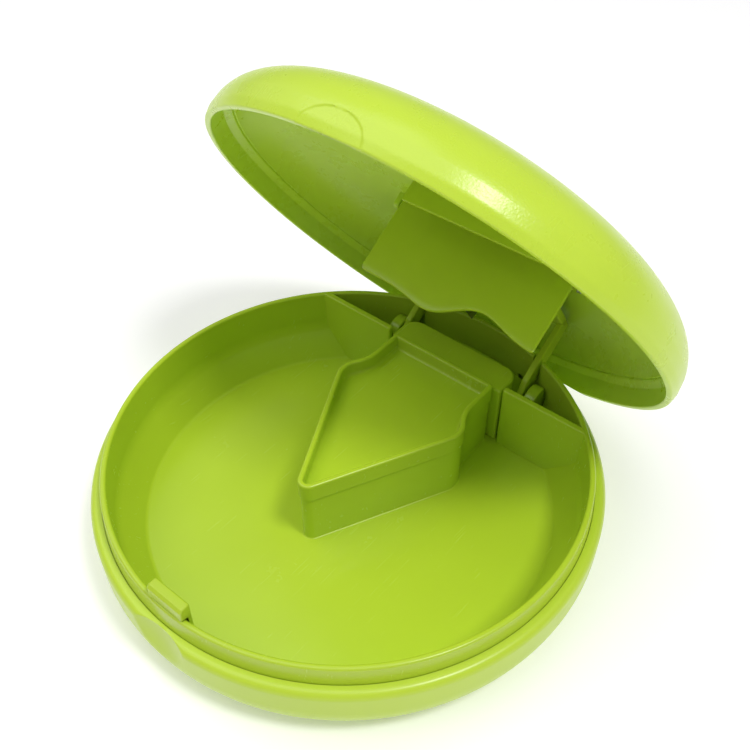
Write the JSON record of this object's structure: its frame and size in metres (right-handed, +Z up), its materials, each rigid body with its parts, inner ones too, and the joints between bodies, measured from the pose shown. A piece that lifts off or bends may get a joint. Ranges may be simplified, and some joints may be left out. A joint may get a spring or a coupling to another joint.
{
  "type": "pill splitter",
  "caption": "Round pill splitter: a dish with a raised cutting tray, and a hinged domed lid that carries a blade and a swinging blade guard.",
  "frame": {"origin": "centre of the dish's flat underside", "axes": "+Z up from the surface it rests on, +Y from the centre to the hinge, +X along the hinge pin"},
  "size_m": [0.09, 0.0978, 0.0813],
  "materials": {
    "lid_plastic": "polished",
    "dish_plastic": "polished",
    "inner_plastic": "polished",
    "guard_plastic": "polished",
    "blade_steel": "ground",
    "pin_steel": "satin"
  },
  "bodies": {
    "dish": {"base_shell": "dish_plastic", "inner_bowl": "inner_plastic", "cutting_tray": "inner_plastic", "latch_catch": "inner_plastic", "hinge_mount": "inner_plastic", "hinge_pin": "pin_steel"},
    "lid": {"lid_shell": "lid_plastic", "blade_carrier": "guard_plastic", "carrier_screws": "pin_steel", "blade_clamp_left": "guard_plastic", "blade_clamp_right": "guard_plastic", "blade": "blade_steel", "blade_rivets": "pin_steel", "guard_pins": "pin_steel", "guard_spring": "pin_steel"},
    "guard": {"blade_guard": "guard_plastic"}
  },
  "joints": [
    {"name": "lid_hinge", "type": "hinge", "parent": "dish", "child": "lid", "pos_m": [0, 0.0372, 0.0069], "axis": [-1, 0, 0], "range_deg": [-56, 0]},
    {"name": "guard_pivot", "type": "hinge", "parent": "lid", "child": "guard", "pos_m": [0, 0.03867, 0.03797], "axis": [-1, 0, 0], "range_deg": [-1, 71]}
  ],
  "couplings": [
    {"joint": "guard_pivot", "follows": "lid_hinge", "ratio": -1.25}
  ]
}
